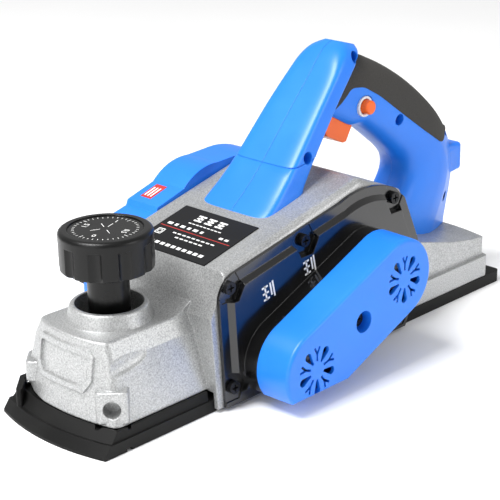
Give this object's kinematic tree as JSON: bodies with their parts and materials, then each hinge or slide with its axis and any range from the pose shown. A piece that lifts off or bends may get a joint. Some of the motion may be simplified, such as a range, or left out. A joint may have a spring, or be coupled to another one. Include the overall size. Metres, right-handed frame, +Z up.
{
  "type": "electric hand planer",
  "caption": "Electric hand planer with cast body, belt-driven cutter drum, adjustable front shoe, depth knob and rear loop handle.",
  "frame": {"origin": "centre of the rear sole's running face", "axes": "+Z up, +X from the toe to the heel, -Y towards the belt side, +Y towards the motor"},
  "size_m": [0.34, 0.1562, 0.172],
  "materials": {
    "bearing_steel": "ground steel",
    "belt_rubber": "ribbed drive belt",
    "black_plastic": "black moulded plastic",
    "blade_steel": "ground tool steel",
    "blue_abs": "satin blue moulded plastic",
    "brass": "turned brass",
    "carbon": "pressed carbon",
    "cast_silver": "die-cast aluminium under a fine metallic silver paint",
    "copper": "varnished copper wire",
    "drum_aluminium": "turned aluminium",
    "knob_black": "semi-gloss black phenolic",
    "label_black": null,
    "lamination": "stacked electrical steel",
    "orange_plastic": "orange moulded plastic",
    "plate_black": "gloss black moulded side plate",
    "screw_black": "blackened steel",
    "screw_steel": "zinc-plated steel",
    "soft_grip": "soft dark grey moulded rubber",
    "sole_black": "machined cast aluminium with a black coating",
    "spring_steel": "spring wire"
  },
  "bodies": {
    "root": {"air_baffle": "black_plastic", "belt_cover": "blue_abs", "belt_cover_screw": "screw_black", "belt_plate": "plate_black", "belt_plate_screws": "screw_black", "brush_holders": "brass", "brush_springs": "spring_steel", "capacitor": "black_plastic", "carbon_brushes": "carbon", "chip_chute": "black_plastic", "cord_bush": "soft_grip", "drive_belt": "belt_rubber", "drum_bearing_far": "bearing_steel", "drum_bearing_near": "bearing_steel", "field_coils": "copper", "field_core": "lamination", "grip_pad_left": "soft_grip", "grip_pad_right": "soft_grip", "guide_sleeve": "brass", "handle_left": "blue_abs", "handle_right": "blue_abs", "handle_screws": "screw_black", "main_casting": "cast_silver", "motor_bearing_far": "bearing_steel", "motor_bearing_near": "bearing_steel", "motor_cover": "blue_abs", "motor_cover_screws": "screw_steel", "name_plate": "label_black", "nose_screw": "screw_steel", "rear_sole": "sole_black", "rear_sole_screws": "screw_steel", "shoe_spring": "spring_steel", "switch_body": "black_plastic", "trigger_spring": "spring_steel"},
    "shoe": {"front_shoe": "sole_black", "shoe_guide_pins": "bearing_steel"},
    "knob": {"depth_knob": "knob_black", "knob_dial": "knob_black", "knob_spindle": "bearing_steel"},
    "drum": {"cutter_drum": "drum_aluminium", "cutter_blades": "blade_steel", "blade_clamps": "bearing_steel", "clamp_bolts": "screw_steel", "driven_pulley": "bearing_steel", "drum_pulley_nut": "screw_steel"},
    "armature": {"armature_shaft": "bearing_steel", "armature_core": "lamination", "armature_windings": "copper", "commutator": "copper", "cooling_fan": "black_plastic", "drive_pulley": "bearing_steel", "motor_pulley_nut": "screw_steel"},
    "trigger_body": {"trigger": "orange_plastic"},
    "lock_body": {"lock_button": "orange_plastic"}
  },
  "joints": [
    {"name": "shoe_lift", "type": "slide", "parent": "root", "child": "shoe", "axis": [0, 0, 1], "range_m": [0, 0.002], "deforming": ["shoe_spring"]},
    {"name": "knob_turn", "type": "hinge", "parent": "shoe", "child": "knob", "pos_m": [-0.1865, 0, 0], "axis": [0, 0, 1], "range_deg": [0, 360]},
    {"name": "armature_spin", "type": "hinge", "parent": "root", "child": "armature", "pos_m": [-0.0425, 0, 0.054], "axis": [0, 1, 0], "continuous": true},
    {"name": "drum_spin", "type": "hinge", "parent": "root", "child": "drum", "pos_m": [-0.1146, 0, 0.0234], "axis": [0, 1, 0], "continuous": true},
    {"name": "trigger_pull", "type": "slide", "parent": "root", "child": "trigger_body", "axis": [0, 0, 1], "range_m": [0, 0.006], "stiffness_N_per_m": 800, "springref_m": -0.004, "deforming": ["trigger_spring"]},
    {"name": "lock_press", "type": "slide", "parent": "root", "child": "lock_body", "axis": [0, 1, 0], "range_m": [0, 0.003], "stiffness_N_per_m": 1000, "springref_m": -0.002}
  ],
  "couplings": [
    {"joint": "knob_turn", "follows": "shoe_lift", "rad_per_m": 3141.6},
    {"joint": "drum_spin", "follows": "armature_spin", "ratio": 0.82474}
  ]
}
